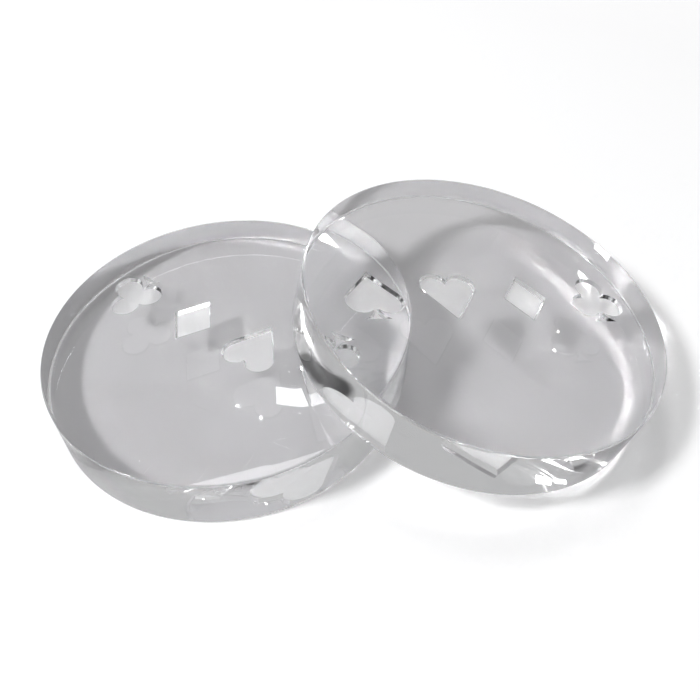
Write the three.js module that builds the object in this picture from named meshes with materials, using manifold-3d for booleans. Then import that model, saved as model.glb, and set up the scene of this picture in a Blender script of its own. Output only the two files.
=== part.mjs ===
// A pair of clear acrylic all-in buttons for a card table. A row of card suits is engraved in each top face.
// One button lies flat on the table. Its twin leans on the flat button's top rim and stands on its own rim.
// Millimetres, +Z up. The origin is the centre of the flat button's underside, at table height.
import * as THREE from "three";
import { mergeVertices } from "three/addons/utils/BufferGeometryUtils.js";
import Module from "manifold-3d";

// Driving dimensions
const BUTTON_DIAMETER = 76.2; // three inches
const BUTTON_THICKNESS = 12.7; // half an inch
const EDGE_RADIUS = 0.5; // polished edge break, top and bottom
const OVERLAP = 23.6; // leaning button's underside, from its raised rim in to the point that holds it up
const SIDE_SHIFT = 1.8; // leaning button's centre, to the left of the line of lean
const LEAN_TURN_DEG = -4.1; // line of lean about +Z, from +X

// Engraved row of suits, centred on each top face
const ENGRAVING_DEPTH = 0.8;
const SUIT_PITCH = 16.4; // from one suit's middle to the next
const SUIT_HEIGHT = 12.4;
const LEAF_WIDTH = 11.9; // heart and spade
const DIAMOND_WIDTH = 9.7;
const LOBE_OVERLAP = 0.8; // how far the round lobes of a suit run into each other
const STEM_DROP = 1.5; // foot of a stem, below the lobes of its spade or club
const STEM_FOOT_WIDTH = 5.2;
const STEM_NECK_WIDTH = 1.2;
const FLAT_ROW_TURN_DEG = 149; // row about the flat button's axis, from +X
const LEANING_ROW_TURN_DEG = 13.2; // row about the leaning button's axis, from the line of lean

// Clearances
const REST_GAP = 0.3; // where the leaning button rests on the flat one
const CUTTER_RISE = 1; // cutters, above the face that they cut

// Fineness of the round faces
const ROUND_SEGMENTS = 120;
const EDGE_STEPS = 4;
const SUIT_CURVE_STEPS = 6;

// Clear cast acrylic
const ACRYLIC_COLOR = 0xdcdee2;
const ACRYLIC_ROUGHNESS = 0.05;
const ACRYLIC_METALNESS = 0;
const ACRYLIC_OPACITY = 0.35;

const QUARTER_TURN = Math.PI / 2;
const BUTTON_RADIUS = BUTTON_DIAMETER / 2;
const FLAT_RADIUS = BUTTON_RADIUS - EDGE_RADIUS;
const SUIT_TOP = SUIT_HEIGHT / 2;
const SUIT_FOOT = -SUIT_HEIGHT / 2;
const CORNERS = 3; // of a triangle
const COORDINATES = 3; // of a point

const solids = await Module();
solids.setup();

// Points of one edge break, a quarter round about (FLAT_RADIUS, centreHeight) that starts at startAngle.
function edgeBreak(centreHeight, startAngle) {
  const points = [];
  for (let step = 0; step <= EDGE_STEPS; step += 1) {
    const angle = startAngle + (QUARTER_TURN * step) / EDGE_STEPS;
    const out = FLAT_RADIUS + EDGE_RADIUS * Math.cos(angle);
    const up = centreHeight + EDGE_RADIUS * Math.sin(angle);
    points.push(new THREE.Vector2(out, up));
  }
  return points;
}

// A solid disc about +Z, standing on z = 0: flat faces, a straight wall and a break on both edges.
function discGeometry() {
  const profile = [
    new THREE.Vector2(0, 0),
    ...edgeBreak(EDGE_RADIUS, -QUARTER_TURN),
    ...edgeBreak(BUTTON_THICKNESS - EDGE_RADIUS, 0),
    new THREE.Vector2(0, BUTTON_THICKNESS),
  ];
  return new THREE.LatheGeometry(profile, ROUND_SEGMENTS).rotateX(QUARTER_TURN);
}

// The right one of a leaf's two lobes, on a leaf whose lobes reach down to lowest.
function leafLobe(lowest) {
  const radius = (LEAF_WIDTH + LOBE_OVERLAP) / 4;
  const middle = new THREE.Vector2(LEAF_WIDTH / 2 - radius, lowest + radius);
  return { radius, middle };
}

// Where the straight side from a leaf's tip meets its right lobe, as an angle about the lobe's middle.
// The tip is straight above the notch between the lobes.
function sideAngle(lobe, tipHeight) {
  const tip = new THREE.Vector2(0, tipHeight);
  const fromLobe = tip.sub(lobe.middle);
  return fromLobe.angle() - Math.acos(lobe.radius / fromLobe.length());
}

// The foot of a stem, from the axis out to its corner and up the flare to the lobe that the neck meets.
function stemPath(lobe) {
  const neck = STEM_NECK_WIDTH / 2;
  const inward = neck - lobe.middle.x;
  const below = -Math.sqrt(lobe.radius ** 2 - inward ** 2);
  const neckHeight = lobe.middle.y + below;
  const path = new THREE.Path();
  path.moveTo(0, SUIT_FOOT);
  path.lineTo(STEM_FOOT_WIDTH / 2, SUIT_FOOT);
  path.quadraticCurveTo(neck, (SUIT_FOOT + neckHeight) / 2, neck, neckHeight);
  return { path, neckAngle: Math.atan2(below, inward) };
}

// Points of each suit's right half, from the axis round to the axis. The suit's middle is the origin.
function spade() {
  const lobe = leafLobe(SUIT_FOOT + STEM_DROP);
  const { path, neckAngle } = stemPath(lobe);
  path.absarc(lobe.middle.x, lobe.middle.y, lobe.radius, neckAngle, sideAngle(lobe, SUIT_TOP));
  path.lineTo(0, SUIT_TOP);
  return path.getPoints(SUIT_CURVE_STEPS);
}

// A leaf turned over, so that it stands on its tip.
function heart() {
  const lobe = leafLobe(SUIT_FOOT);
  const notchAngle = -Math.acos(-lobe.middle.x / lobe.radius);
  const path = new THREE.Path();
  path.absarc(lobe.middle.x, lobe.middle.y, lobe.radius, notchAngle, sideAngle(lobe, SUIT_TOP));
  path.lineTo(0, SUIT_TOP);
  return path.getPoints(SUIT_CURVE_STEPS).map((point) => new THREE.Vector2(point.x, -point.y));
}

function diamond() {
  return [
    new THREE.Vector2(0, SUIT_FOOT),
    new THREE.Vector2(DIAMOND_WIDTH / 2, 0),
    new THREE.Vector2(0, SUIT_TOP),
  ];
}

// Three equal lobes, each as far from the next, over a stem.
function club() {
  const steep = Math.sin(Math.PI / 3);
  const radius = (SUIT_HEIGHT - STEM_DROP + steep * LOBE_OVERLAP) / (2 + 2 * steep);
  const apart = 2 * radius - LOBE_OVERLAP;
  const top = new THREE.Vector2(0, SUIT_TOP - radius);
  const lobe = { radius, middle: new THREE.Vector2(apart / 2, top.y - apart * steep) };
  const half = Math.acos(apart / 2 / radius);
  const toTop = top.clone().sub(lobe.middle).angle();
  const { path, neckAngle } = stemPath(lobe);
  path.absarc(lobe.middle.x, lobe.middle.y, radius, neckAngle, toTop - half);
  path.absarc(top.x, top.y, radius, toTop - Math.PI + half, QUARTER_TURN);
  return path.getPoints(SUIT_CURVE_STEPS);
}

// A cutter of the engraving's depth, from the right half of a suit and its mirror image.
function suitCutter(rightHalf) {
  const offAxis = rightHalf.slice(1, -1).reverse();
  const leftHalf = offAxis.map((point) => new THREE.Vector2(-point.x, point.y));
  const outline = new THREE.Shape([...rightHalf, ...leftHalf]);
  const depth = ENGRAVING_DEPTH + CUTTER_RISE;
  const cutter = new THREE.ExtrudeGeometry(outline, { depth, bevelEnabled: false });
  return cutter.translate(0, 0, BUTTON_THICKNESS - ENGRAVING_DEPTH);
}

// A geometry's solid, without the triangles that shrink to a line where a revolved face reaches its axis.
function solidOf(geometry) {
  geometry.deleteAttribute("normal");
  geometry.deleteAttribute("uv");
  const { index, attributes } = mergeVertices(geometry);
  const triangles = [];
  for (let start = 0; start < index.count; start += CORNERS) {
    const corners = index.array.slice(start, start + CORNERS);
    if (new Set(corners).size === CORNERS) {
      triangles.push(...corners);
    }
  }
  const vertProperties = attributes.position.array;
  const triVerts = new Uint32Array(triangles);
  const mesh = new solids.Mesh({ numProp: COORDINATES, vertProperties, triVerts });
  return new solids.Manifold(mesh);
}

function geometryOf(solid) {
  const { vertProperties, triVerts } = solid.getMesh();
  const geometry = new THREE.BufferGeometry();
  geometry.setAttribute("position", new THREE.BufferAttribute(vertProperties, COORDINATES));
  geometry.setIndex(new THREE.BufferAttribute(triVerts, 1));
  geometry.computeVertexNormals();
  return geometry;
}

// A disc with the row of suits cut into its top face, the row turned about the disc's axis.
function buttonGeometry(rowTurnDeg) {
  const row = [spade(), heart(), diamond(), club()];
  const first = (-SUIT_PITCH * (row.length - 1)) / 2;
  let button = solidOf(discGeometry());
  row.forEach((suit, place) => {
    const cutter = suitCutter(suit).translate(first + place * SUIT_PITCH, 0, 0);
    cutter.rotateZ(THREE.MathUtils.degToRad(rowTurnDeg));
    button = button.subtract(solidOf(cutter));
  });
  return geometryOf(button);
}

function clearAcrylic() {
  return new THREE.MeshStandardMaterial({
    color: ACRYLIC_COLOR,
    roughness: ACRYLIC_ROUGHNESS,
    metalness: ACRYLIC_METALNESS,
    transparent: true,
    opacity: ACRYLIC_OPACITY,
  });
}

function button(name, rowTurnDeg) {
  const mesh = new THREE.Mesh(buttonGeometry(rowTurnDeg), clearAcrylic());
  mesh.name = name;
  return mesh;
}

// Where the leaning button rests, in the upright plane along the line of lean.
// Its underside touches two edge breaks: the flat button's top one from above, and its own, which stands on
// the table, from below. The line between the middles of these two breaks fixes the angle of lean.
function restingPlace() {
  const reach = BUTTON_DIAMETER - OVERLAP - EDGE_RADIUS; // along the underside, from break to break
  const across = 2 * EDGE_RADIUS + REST_GAP; // square to the underside, from break to break
  const drop = BUTTON_THICKNESS - 2 * EDGE_RADIUS; // in height, from break to break
  const lean = Math.asin(drop / Math.hypot(reach, across)) + Math.atan2(across, reach);
  const slope = new THREE.Vector2(Math.cos(lean), -Math.sin(lean)); // down the underside
  const normal = new THREE.Vector2(Math.sin(lean), Math.cos(lean)); // out of the top face
  const foot = new THREE.Vector2(FLAT_RADIUS, BUTTON_THICKNESS - EDGE_RADIUS)
    .addScaledVector(slope, reach)
    .addScaledVector(normal, across);
  const centre = foot.addScaledVector(slope, -FLAT_RADIUS).addScaledVector(normal, -EDGE_RADIUS);
  return { lean, along: centre.x, height: centre.y };
}

function leaningButton() {
  const { lean, along, height } = restingPlace();
  const mesh = button("leaning_button", LEANING_ROW_TURN_DEG);
  mesh.position.set(along, SIDE_SHIFT, height);
  mesh.rotation.y = lean;
  const lineOfLean = new THREE.Group();
  lineOfLean.rotation.z = THREE.MathUtils.degToRad(LEAN_TURN_DEG);
  lineOfLean.add(mesh);
  return lineOfLean;
}

const pair = new THREE.Group();
pair.add(button("flat_button", FLAT_ROW_TURN_DEG));
pair.add(leaningButton());

export default pair;
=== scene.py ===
# Looks of a pair of clear acrylic all-in buttons: polished solid discs with an engraved row of card suits.
import math
from typing import NamedTuple

import bpy
import numpy as np
from mathutils import Euler, Matrix, Vector
from mathutils.geometry import delaunay_2d_cdt


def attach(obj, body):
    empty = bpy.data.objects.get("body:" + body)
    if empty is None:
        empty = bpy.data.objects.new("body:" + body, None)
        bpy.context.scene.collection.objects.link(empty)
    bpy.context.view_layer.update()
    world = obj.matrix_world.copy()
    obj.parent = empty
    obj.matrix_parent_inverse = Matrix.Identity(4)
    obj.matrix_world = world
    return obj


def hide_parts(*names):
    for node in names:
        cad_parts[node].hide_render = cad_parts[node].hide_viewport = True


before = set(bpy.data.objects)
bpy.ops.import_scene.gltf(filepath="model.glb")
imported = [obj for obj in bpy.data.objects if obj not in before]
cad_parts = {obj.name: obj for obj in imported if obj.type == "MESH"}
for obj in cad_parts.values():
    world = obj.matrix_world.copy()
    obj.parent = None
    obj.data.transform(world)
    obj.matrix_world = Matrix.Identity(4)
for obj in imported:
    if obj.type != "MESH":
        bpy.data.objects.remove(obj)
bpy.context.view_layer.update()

MM = 0.001  # lengths are metres, or millimetres where a comment says so

# Camera at the photograph's viewing angle
PICTURE_SIDE = 700
FOCAL_PIXELS = 761.2
SENSOR_WIDTH = 36.0
CAMERA_PLACE = Vector((26.56, -111.76, 129.42)) * MM
CAMERA_ELEVATION = math.radians(47.99)
CAMERA_ROLL = math.radians(-2.61)
CLIP_START = 5 * MM

# Buttons: the discs' sizes and places come from the frame
EDGE_ROUND = 0.5 * MM
EDGE_STEPS = 8
RING_STEPS = 360
SHARP_ANGLE = math.radians(35)
RADIUS_TRIM = 0.03 * MM  # keeps the finer rings inside the frame's box

# Engraved row of suits on each top face, in millimetres
ENGRAVING_DEPTH = 0.8
ENGRAVING_SLOPE = 0.3  # width of the sloping wall round a suit's floor
SUIT_PITCH = 16.4
SUIT_HEIGHT = 12.4
LEAF_WIDTH = 11.9  # heart and spade
DIAMOND_WIDTH = 9.7
LOBE_OVERLAP = 0.8
STEM_DROP = 1.5
STEM_FOOT_WIDTH = 5.2
STEM_NECK_WIDTH = 1.2
CURVE_STEPS = 28
FLAT_ROW_TURN = math.radians(149)
LEANING_ROW_TURN = math.radians(8.96)
SUIT_TOP = SUIT_HEIGHT / 2
SUIT_FOOT = -SUIT_HEIGHT / 2

# Meshing
TINY = 1e-6
INSET_KEPT = 0.995  # share of an inset's width that a point keeps unless the inset folds over there
TRIANGLES_INSIDE = 1  # the triangulation's output without what lies outside the outlines

# Finish of each kind of face; the rim's finish is the same acrylic with a darker tint, painted shade
FINISHES = ("face", "rim", "engraving")
FINISH_OF = {"face": "face", "rim": "rim", "wall": "face", "floor": "engraving"}

# Cast acrylic
ACRYLIC_TINT = (0.97, 0.972, 0.975, 1)
RIM_PAINTED_SHADE_TINT = (0.885, 0.89, 0.897, 1)  # painted shade: a darker tint on the rim faces stands in for the light lost a long way through the acrylic
ACRYLIC_IOR = 1.49

# Wear of the polish: patterns per millimetre, and the roughness of each mark
SMEAR_SCALE = 0.11
SMEAR_START = 0.45
SMEAR_FULL = 0.75
SMEAR_ROUGHNESS = 0.045
SPECK_SCALE = 0.28
SPECK_FULL = 0.035
SPECK_END = 0.05
HAIRLINE_START = 0.70
HAIRLINE_FULL = 0.74
HAIRLINE_RUN = 0.05  # along a hairline
FIRST_HAIRLINE_TURN = 0.5
FIRST_HAIRLINE_SPACING = 0.35  # millimetres
SECOND_HAIRLINE_TURN = 2.1
SECOND_HAIRLINE_SPACING = 0.5
MARK_ROUGHNESS = 0.16
MARK_STRENGTH = 0.25
MARK_DEPTH = 0.01 * MM

# Frosting of the engraving
FROST_CLEARNESS = 0.87
GRAIN_SCALE = 4.0
GRAIN_LOW = 0.3
GRAIN_HIGH = 0.7
GRAIN_SMOOTHEST = 0.7
GRAIN_ROUGHEST = 1.0
GRAIN_STRENGTH = 0.35
GRAIN_DEPTH = 0.05 * MM

# Floor
FLOOR_RADIUS = 3.0
FLOOR_DROP = 0.15 * MM
FLOOR_STEPS = 96
TABLE_GREY = (0.505, 0.5, 0.51, 1)  # through the buttons
FLOOR_WHITE = (0.94, 0.94, 0.945, 1)  # seen directly
FLOOR_ROUGHNESS = 0.9
FLOOR_SHEEN = 0.1
SWEEP_START = 0.2  # from here out the floor brightens to the white of the room, like a studio's sweep
SWEEP_END = 1.0
SWEEP_LIGHT = 0.5

# Room
WHITE = (1, 1, 1, 1)
ROOM_WHITE = (0.99, 0.99, 1, 1)  # seen directly
ROOM_LIGHT = 0.53
FLAG_HIGH_END = Vector((0.719, 0.335, 0.609)).normalized()  # a narrow dark card beside the buttons
FLAG_MIDDLE = Vector((0.774, 0.267, 0.574)).normalized()
FLAG_LOW_END = Vector((0.822, 0.190, 0.537)).normalized()
FLAG_INNER = math.cos(math.radians(3.2))
FLAG_OUTER = math.cos(math.radians(5.2))
FLAG_LIGHT = 0.02


class SoftLight(NamedTuple):
    """A rectangular light that faces the buttons, its place and its size (wide, high) in metres."""

    name: str
    place: tuple
    size: tuple
    radiance: float
    roll: float = 0.0


LIT_PLACE = Vector((20, 0, 0)) * MM  # where the lights are aimed
KEY = SoftLight("key", (-0.724, -0.240, 0.911), (0.2, 0.2), radiance=69)
OVERHEAD = SoftLight("overhead", (-0.091, 0.415, 1.120), (0.35, 0.275), radiance=6)
WINDOW_LEFT = SoftLight("window_left", (-0.076, 0.905, 1.188), (0.111, 0.065), radiance=13)
WINDOW_ROLL = math.radians(9)
WINDOW_RIGHT = SoftLight("window_right", (0.065, 0.947, 1.177), (0.120, 0.086), radiance=13, roll=WINDOW_ROLL)

# Light paths that run to and fro inside the clear discs
MOST_BOUNCES = 32
MOST_CLEAR_BOUNCES = 24


def arc(middle, radius, start, end):
    """Points of a circle, from one angle to another."""
    angles = np.linspace(start, end, CURVE_STEPS)
    return np.array(middle) + radius * np.stack([np.cos(angles), np.sin(angles)], 1)


def bend(start, control, end):
    """Points of a quadratic curve."""
    t = np.linspace(0, 1, CURVE_STEPS)[:, None]
    return (1 - t) ** 2 * np.array(start) + 2 * t * (1 - t) * np.array(control) + t**2 * np.array(end)


def leaf_lobe(lowest):
    """Radius and middle of the right lobe of a leaf whose lobes reach down to lowest."""
    radius = (LEAF_WIDTH + LOBE_OVERLAP) / 4
    return radius, np.array((LEAF_WIDTH / 2 - radius, lowest + radius))


def side_angle(radius, middle):
    """Where the straight side from a leaf's tip meets its right lobe, as an angle about the lobe's middle."""
    across, up = np.array((0, SUIT_TOP)) - middle
    return math.atan2(up, across) - math.acos(radius / math.hypot(across, up))


def stem(radius, middle):
    """The foot of a stem up to the lobe that its neck meets, and the angle of that place about the lobe."""
    neck = STEM_NECK_WIDTH / 2
    inward = neck - middle[0]
    below = -math.sqrt(radius**2 - inward**2)
    meet = (neck, middle[1] + below)
    corner = (STEM_FOOT_WIDTH / 2, SUIT_FOOT)
    flare = bend(corner, (neck, (SUIT_FOOT + meet[1]) / 2), meet)
    return np.concatenate([[(0, SUIT_FOOT)], flare]), math.atan2(below, inward)


def spade():
    """Right half of a spade, up from its foot. The other suits' halves run the same way."""
    radius, middle = leaf_lobe(SUIT_FOOT + STEM_DROP)
    foot, neck_angle = stem(radius, middle)
    lobe = arc(middle, radius, neck_angle, side_angle(radius, middle))
    return np.concatenate([foot, lobe, [(0, SUIT_TOP)]])


def heart():
    """A leaf turned over, so that it stands on its tip."""
    radius, middle = leaf_lobe(SUIT_FOOT)
    notch_angle = -math.acos(-middle[0] / radius)
    lobe = arc(middle, radius, notch_angle, side_angle(radius, middle))
    leaf = np.concatenate([lobe, [(0, SUIT_TOP)]])
    return (leaf * (1, -1))[::-1]


def diamond():
    return np.array([(0, SUIT_FOOT), (DIAMOND_WIDTH / 2, 0), (0, SUIT_TOP)])


def club():
    """Three equal lobes, each as far from the next, over a stem."""
    steep = math.sin(math.pi / 3)
    radius = (SUIT_HEIGHT - STEM_DROP + steep * LOBE_OVERLAP) / (2 + 2 * steep)
    apart = 2 * radius - LOBE_OVERLAP
    top = np.array((0, SUIT_TOP - radius))
    middle = np.array((apart / 2, top[1] - apart * steep))
    half = math.acos(apart / 2 / radius)
    to_top = math.atan2(top[1] - middle[1], top[0] - middle[0])
    foot, neck_angle = stem(radius, middle)
    side_lobe = arc(middle, radius, neck_angle, to_top - half)
    top_lobe = arc(top, radius, to_top - math.pi + half, math.pi / 2)
    return np.concatenate([foot, side_lobe, top_lobe])


def whole(right_half):
    """A closed outline, counter-clockwise, from its right half, which runs up from the axis to the axis."""
    outline = np.concatenate([right_half, right_half[-2:0:-1] * (-1, 1)])
    step = np.linalg.norm(outline - np.roll(outline, 1, 0), axis=1)
    return outline[step > TINY]


def distance_to(outline, points):
    """How far each point is from a closed outline."""
    start = outline[None]
    run = np.roll(outline, -1, 0)[None] - start
    away = points[:, None] - start
    share = np.clip((away * run).sum(2) / (run**2).sum(2), 0, 1)
    return np.linalg.norm(away - share[..., None] * run, axis=2).min(1)


def inset(outline, width):
    """A counter-clockwise outline moved in by width, without the points that would fold over at corners."""
    ahead = np.roll(outline, -1, 0) - outline
    ahead /= np.linalg.norm(ahead, axis=1)[:, None]
    left_ahead = np.stack([-ahead[:, 1], ahead[:, 0]], 1)
    left_behind = np.roll(left_ahead, 1, 0)
    opening = 1 + (left_ahead * left_behind).sum(1)
    moved = outline + width * (left_ahead + left_behind) / opening[:, None]
    return moved[distance_to(outline, moved) > INSET_KEPT * width]


def suit_row(turn):
    """The engraved outlines of a button's top face, in millimetres, turned about its middle."""
    suits = [whole(half) for half in (spade(), heart(), diamond(), club())]
    rotation = np.array([[math.cos(turn), math.sin(turn)], [-math.sin(turn), math.cos(turn)]])
    first = -SUIT_PITCH * (len(suits) - 1) / 2
    places = [(first + SUIT_PITCH * i, 0) for i in range(len(suits))]
    return [(suit + place) @ rotation for suit, place in zip(suits, places)]


def edge_profile(radius, thickness):
    """(radius, height) of each ring of the round wall, from the underside's edge up to the top face's."""
    quarter = np.linspace(0, math.pi / 2, EDGE_STEPS + 1)
    lower = [(radius - EDGE_ROUND * (1 - math.sin(a)), EDGE_ROUND * (1 - math.cos(a))) for a in quarter]
    upper = [(out, thickness - up) for out, up in reversed(lower)]
    return lower + upper


def kind_of(loop_ids, first_floor):
    """The kind of a triangle, from the numbers of the loops that it lies in."""
    innermost = max(loop_ids)
    if innermost >= first_floor:
        return "floor"
    return "wall" if innermost > 0 else "face"


def top_face(ring, outlines):
    """Triangles of a top face with engraved outlines.

    Gives the points in millimetres, the triangles, the kind of each triangle, which points are sunk, and each
    point's place in the ring, or None."""
    floors = [inset(outline, ENGRAVING_SLOPE) for outline in outlines]
    loops = [ring, *outlines, *floors]
    starts = np.cumsum([0] + [len(loop) for loop in loops])
    faces = [list(range(a, b)) for a, b in zip(starts, starts[1:])]
    corners = [Vector(p) for p in np.concatenate(loops)]
    made = delaunay_2d_cdt(corners, [], faces, TRIANGLES_INSIDE, TINY, True)
    points, _, triangles, point_ids, _, loop_ids = made
    first_floor = 1 + len(outlines)
    kinds = [kind_of(ids, first_floor) for ids in loop_ids]
    sunk = [any(i >= starts[first_floor] for i in ids) for ids in point_ids]
    on_ring = [min(ids) if ids and min(ids) < len(ring) else None for ids in point_ids]
    return points, triangles, kinds, sunk, on_ring


def rim_faces(levels):
    """Four-cornered faces between the rings of the round wall."""
    faces = []
    for level in range(levels - 1):
        low = level * RING_STEPS
        high = low + RING_STEPS
        for i in range(RING_STEPS):
            j = (i + 1) % RING_STEPS
            faces.append((low + i, low + j, high + j, high + i))
    return faces


def button_mesh(name, radius, thickness, turn):
    """One closed mesh of a button about Z, standing on z = 0, with the suits sunk into its top face."""
    angles = np.linspace(0, 2 * math.pi, RING_STEPS, endpoint=False)
    circle = np.stack([np.cos(angles), np.sin(angles)], 1)
    rings = edge_profile(radius, thickness)
    verts = [(out * x, out * y, up) for out, up in rings for x, y in circle]
    faces = rim_faces(len(rings))
    kinds = ["rim"] * len(faces)
    faces.append(tuple(reversed(range(RING_STEPS))))
    kinds.append("face")
    top_ring = circle * rings[-1][0] / MM
    points, triangles, triangle_kinds, sunk, on_ring = top_face(top_ring, suit_row(turn))
    index = []
    for point, is_sunk, ring_index in zip(points, sunk, on_ring):
        if ring_index is not None:
            index.append((len(rings) - 1) * RING_STEPS + ring_index)
            continue
        index.append(len(verts))
        verts.append((point.x * MM, point.y * MM, thickness - ENGRAVING_DEPTH * MM * is_sunk))
    faces += [tuple(index[i] for i in triangle) for triangle in triangles]
    kinds += triangle_kinds
    mesh = bpy.data.meshes.new(name)
    mesh.from_pydata(verts, [], faces)
    mesh.validate()
    for polygon, kind in zip(mesh.polygons, kinds):
        polygon.use_smooth = kind in ("rim", "wall")
        polygon.material_index = FINISHES.index(FINISH_OF[kind])
    mesh.set_sharp_from_angle(angle=SHARP_ANGLE)
    return mesh


def seat_of(node_name):
    """A button's place, with its origin in mid-underside and Z out of the top, and its two sizes."""
    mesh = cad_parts[node_name].data
    normals = np.array([face.normal for face in mesh.polygons])
    areas = np.array([face.area for face in mesh.polygons])
    middles = np.array([face.center for face in mesh.polygons])
    down = normals[np.where(normals[:, 2] < 0, areas, 0).argmax()]
    under = normals @ down > 1 - TINY
    centre = (middles[under] * areas[under, None]).sum(0) / areas[under].sum()
    normal = -down
    out = np.array([vertex.co for vertex in mesh.vertices]) - centre
    heights = out @ normal
    radius = np.linalg.norm(out - np.outer(heights, normal), axis=1).max()
    across = np.array((1.0, 0, 0)) - normal[0] * normal
    across /= np.linalg.norm(across)
    place = Matrix.Identity(4)
    for column, axis in enumerate((across, np.cross(normal, across), normal, centre)):
        for row in range(3):
            place[row][column] = axis[row]
    return place, float(radius) - RADIUS_TRIM, float(np.ptp(heights))


def fill(tree, made, **inputs):
    """Sets a node's inputs, or links them to other nodes' outputs. An underscore is a space in a name."""
    for name, value in inputs.items():
        socket = made.inputs[name.replace("_", " ")]
        if isinstance(value, bpy.types.NodeSocket):
            tree.links.new(value, socket)
        else:
            socket.default_value = value
    return made


def node(tree, kind, **inputs):
    return fill(tree, tree.nodes.new(kind), **inputs)


def noise(tree, place, scale, detail, roughness):
    made = node(tree, "ShaderNodeTexNoise", Vector=place, Scale=scale, Detail=detail, Roughness=roughness)
    return made.outputs[0]


def ramp(tree, value, low, high, at_low, at_high):
    """A value mapped from low..high to at_low..at_high, and held there."""
    made = node(tree, "ShaderNodeMapRange", Value=value, From_Min=low, From_Max=high)
    made.clamp = True
    return fill(tree, made, To_Min=at_low, To_Max=at_high).outputs[0]


def combined(tree, operation, first, second):
    """Two values put together by a sum, product or the like."""
    made = tree.nodes.new("ShaderNodeMath")
    made.operation = operation
    tree.links.new(first, made.inputs[0])
    tree.links.new(second, made.inputs[1])
    return made.outputs[0]


def highest(tree, first, *others):
    """The largest of several values."""
    for other in others:
        first = combined(tree, "MAXIMUM", first, other)
    return first


def new_material(name):
    material = bpy.data.materials.new(name)
    material.use_nodes = True
    tree = material.node_tree
    return material, tree, tree.nodes["Principled BSDF"]


def millimetres(tree, turn=0.0, stretch=(1, 1, 1)):
    """A piece's own coordinates in millimetres, turned about Z and then scaled."""
    coordinates = tree.nodes.new("ShaderNodeTexCoord").outputs["Object"]
    turned = node(tree, "ShaderNodeMapping", Vector=coordinates, Rotation=(0, 0, turn))
    scale = [share / MM for share in stretch]
    return node(tree, "ShaderNodeMapping", Vector=turned.outputs[0], Scale=scale).outputs[0]


def hairlines(tree, turn, spacing):
    """Fine scratches along one direction: 1 in a scratch, 0 between."""
    along = millimetres(tree, turn, (HAIRLINE_RUN, 1 / spacing, HAIRLINE_RUN))
    streaks = noise(tree, along, scale=1.0, detail=2.0, roughness=0.5)
    return ramp(tree, streaks, HAIRLINE_START, HAIRLINE_FULL, 0, 1)


def wear(tree):
    """Where the polish has handling smears, and where it has hairlines and dust specks."""
    place = millimetres(tree)
    smear = noise(tree, place, SMEAR_SCALE, detail=3.0, roughness=0.55)
    cells = node(tree, "ShaderNodeTexVoronoi", Vector=place, Scale=SPECK_SCALE).outputs["Distance"]
    specks = ramp(tree, cells, SPECK_FULL, SPECK_END, 1, 0)
    first = hairlines(tree, FIRST_HAIRLINE_TURN, FIRST_HAIRLINE_SPACING)
    second = hairlines(tree, SECOND_HAIRLINE_TURN, SECOND_HAIRLINE_SPACING)
    return smear, highest(tree, first, second, specks)


def polished_acrylic(name, tint):
    """Polished cast acrylic with the hairlines, handling marks and dust specks of a piece in use."""
    material, tree, shader = new_material(name)
    fill(tree, shader, Base_Color=tint, IOR=ACRYLIC_IOR, Transmission_Weight=1)
    smear, marks = wear(tree)
    haze = ramp(tree, smear, SMEAR_START, SMEAR_FULL, 0.0, SMEAR_ROUGHNESS)
    scuffs = ramp(tree, marks, 0, 1, 0.0, MARK_ROUGHNESS)
    bump = node(tree, "ShaderNodeBump", Height=marks, Strength=MARK_STRENGTH, Distance=MARK_DEPTH)
    bump.invert = True
    fill(tree, shader, Roughness=highest(tree, haze, scuffs), Normal=bump.outputs[0])
    return material


def frosted_acrylic():
    """The cut floors of the engraving: the same acrylic, left matt and grainy by the cutter."""
    material, tree, shader = new_material("frosted_acrylic")
    fill(tree, shader, Base_Color=ACRYLIC_TINT, IOR=ACRYLIC_IOR, Transmission_Weight=FROST_CLEARNESS)
    grain = noise(tree, millimetres(tree), GRAIN_SCALE, detail=4.0, roughness=0.6)
    matt = ramp(tree, grain, GRAIN_LOW, GRAIN_HIGH, GRAIN_SMOOTHEST, GRAIN_ROUGHEST)
    bump = node(tree, "ShaderNodeBump", Height=grain, Strength=GRAIN_STRENGTH, Distance=GRAIN_DEPTH)
    fill(tree, shader, Roughness=matt, Normal=bump.outputs[0])
    return material


def make_button(node_name, turn, materials):
    place, radius, thickness = seat_of(node_name)
    mesh = button_mesh(f"{node_name}_engraved", radius, thickness, turn)
    mesh.transform(place)
    for material in materials:
        mesh.materials.append(material)
    piece = bpy.data.objects.new(f"{node_name}_engraved", mesh)
    bpy.context.scene.collection.objects.link(piece)
    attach(piece, node_name)
    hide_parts(node_name)


def pale_floor():
    """White where it is seen directly, with a sweep to the room, and a grey table through the buttons."""
    material, tree, shader = new_material("pale_floor")
    direct = tree.nodes.new("ShaderNodeLightPath").outputs["Is Camera Ray"]
    colour = tree.nodes.new("ShaderNodeMix")
    colour.data_type = "RGBA"
    fill(tree, colour, Factor=direct, A=TABLE_GREY, B=FLOOR_WHITE)
    away = tree.nodes.new("ShaderNodeVectorMath")
    away.operation = "LENGTH"
    tree.links.new(tree.nodes.new("ShaderNodeTexCoord").outputs["Object"], away.inputs[0])
    sweep = ramp(tree, away.outputs["Value"], SWEEP_START, SWEEP_END, 0, SWEEP_LIGHT)
    glow = combined(tree, "MULTIPLY", direct, sweep)
    fill(tree, shader, Base_Color=colour.outputs["Result"], Emission_Color=WHITE, Emission_Strength=glow)
    fill(tree, shader, Roughness=FLOOR_ROUGHNESS, Specular_IOR_Level=FLOOR_SHEEN)
    return material


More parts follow.
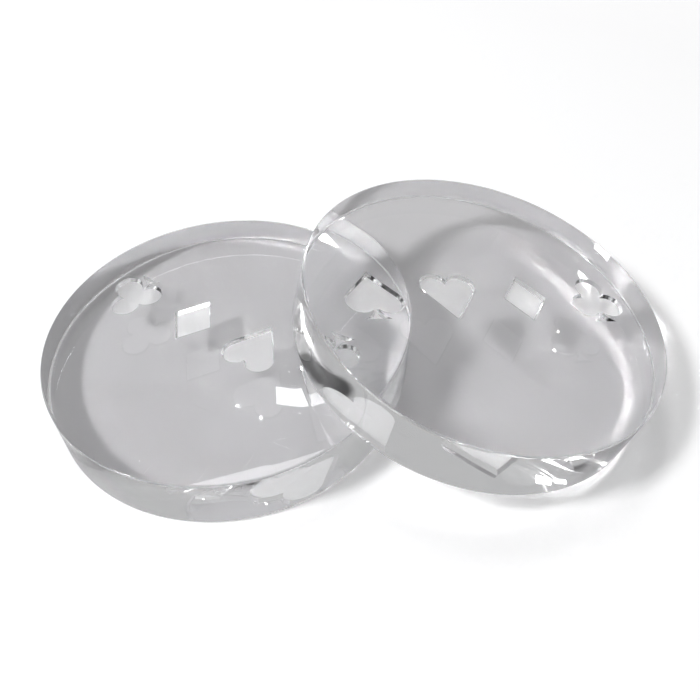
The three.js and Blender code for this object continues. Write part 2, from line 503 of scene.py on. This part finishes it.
def make_floor():
    mesh = bpy.data.meshes.new("floor")
    angles = [2 * math.pi * i / FLOOR_STEPS for i in range(FLOOR_STEPS)]
    ring = [(FLOOR_RADIUS * math.cos(a), FLOOR_RADIUS * math.sin(a), -FLOOR_DROP) for a in angles]
    mesh.from_pydata(ring, [], [tuple(range(FLOOR_STEPS))])
    mesh.materials.append(pale_floor())
    floor = bpy.data.objects.new("floor", mesh)
    bpy.context.scene.collection.objects.link(floor)


def make_camera():
    camera = bpy.data.cameras.new("camera")
    camera.sensor_width = SENSOR_WIDTH
    camera.lens = FOCAL_PIXELS * SENSOR_WIDTH / PICTURE_SIDE
    camera.clip_start = CLIP_START
    holder = bpy.data.objects.new("camera", camera)
    bpy.context.scene.collection.objects.link(holder)
    tilt = Euler((math.pi / 2 - CAMERA_ELEVATION, 0, 0)).to_matrix()
    roll = Euler((0, 0, CAMERA_ROLL)).to_matrix()
    holder.matrix_world = Matrix.Translation(CAMERA_PLACE) @ (tilt @ roll).to_4x4()
    bpy.context.scene.camera = holder


def make_light(soft):
    wide, high = soft.size
    light = bpy.data.lights.new(soft.name, "AREA")
    light.shape = "RECTANGLE"
    light.size = wide
    light.size_y = high
    light.energy = soft.radiance * math.pi * wide * high
    holder = bpy.data.objects.new(soft.name, light)
    bpy.context.scene.collection.objects.link(holder)
    holder.location = soft.place
    holder.rotation_mode = "QUATERNION"
    backward = holder.location - LIT_PLACE
    holder.rotation_quaternion = backward.to_track_quat("Z", "Y") @ Euler((0, 0, soft.roll)).to_quaternion()


def nearness(tree, axis):
    """How near a direction of the room is to an axis, as a cosine."""
    made = tree.nodes.new("ShaderNodeVectorMath")
    made.operation = "DOT_PRODUCT"
    tree.links.new(tree.nodes.new("ShaderNodeTexCoord").outputs["Generated"], made.inputs[0])
    made.inputs[1].default_value = axis
    return made.outputs["Value"]


def make_world():
    """An evenly lit room with a dark flag, behind the plain white that the camera sees."""
    world = bpy.data.worlds.new("studio")
    world.use_nodes = True
    tree = world.node_tree
    card = [nearness(tree, axis) for axis in (FLAG_HIGH_END, FLAG_MIDDLE, FLAG_LOW_END)]
    light = ramp(tree, highest(tree, *card), FLAG_OUTER, FLAG_INNER, ROOM_LIGHT, FLAG_LIGHT)
    room = fill(tree, tree.nodes["Background"], Color=WHITE, Strength=light)
    seen = node(tree, "ShaderNodeBackground", Color=ROOM_WHITE)
    direct = tree.nodes.new("ShaderNodeLightPath").outputs["Is Camera Ray"]
    mix = node(tree, "ShaderNodeMixShader", Fac=direct)
    tree.links.new(room.outputs["Background"], mix.inputs[1])
    tree.links.new(seen.outputs["Background"], mix.inputs[2])
    fill(tree, tree.nodes["World Output"], Surface=mix.outputs["Shader"])
    bpy.context.scene.world = world


def set_light_paths():
    scene = bpy.context.scene
    scene.view_settings.view_transform = "Standard"
    scene.cycles.use_guiding = True
    scene.cycles.sample_clamp_indirect = 0
    scene.cycles.blur_glossy = 0
    scene.cycles.max_bounces = MOST_BOUNCES
    scene.cycles.glossy_bounces = MOST_CLEAR_BOUNCES
    scene.cycles.transmission_bounces = MOST_CLEAR_BOUNCES
    scene.cycles.denoising_prefilter = "ACCURATE"


make_camera()
make_world()
make_floor()
for soft_light in (KEY, OVERHEAD, WINDOW_LEFT, WINDOW_RIGHT):
    make_light(soft_light)
set_light_paths()

# In the order of FINISHES
finishes = (
    polished_acrylic("clear_acrylic", ACRYLIC_TINT),
    # painted shade: the rim faces get a darker-tinted copy of the clear acrylic
    polished_acrylic("acrylic_rim_painted_shade", RIM_PAINTED_SHADE_TINT),
    frosted_acrylic(),
)
make_button("flat_button", FLAT_ROW_TURN, finishes)
make_button("leaning_button", LEANING_ROW_TURN, finishes)
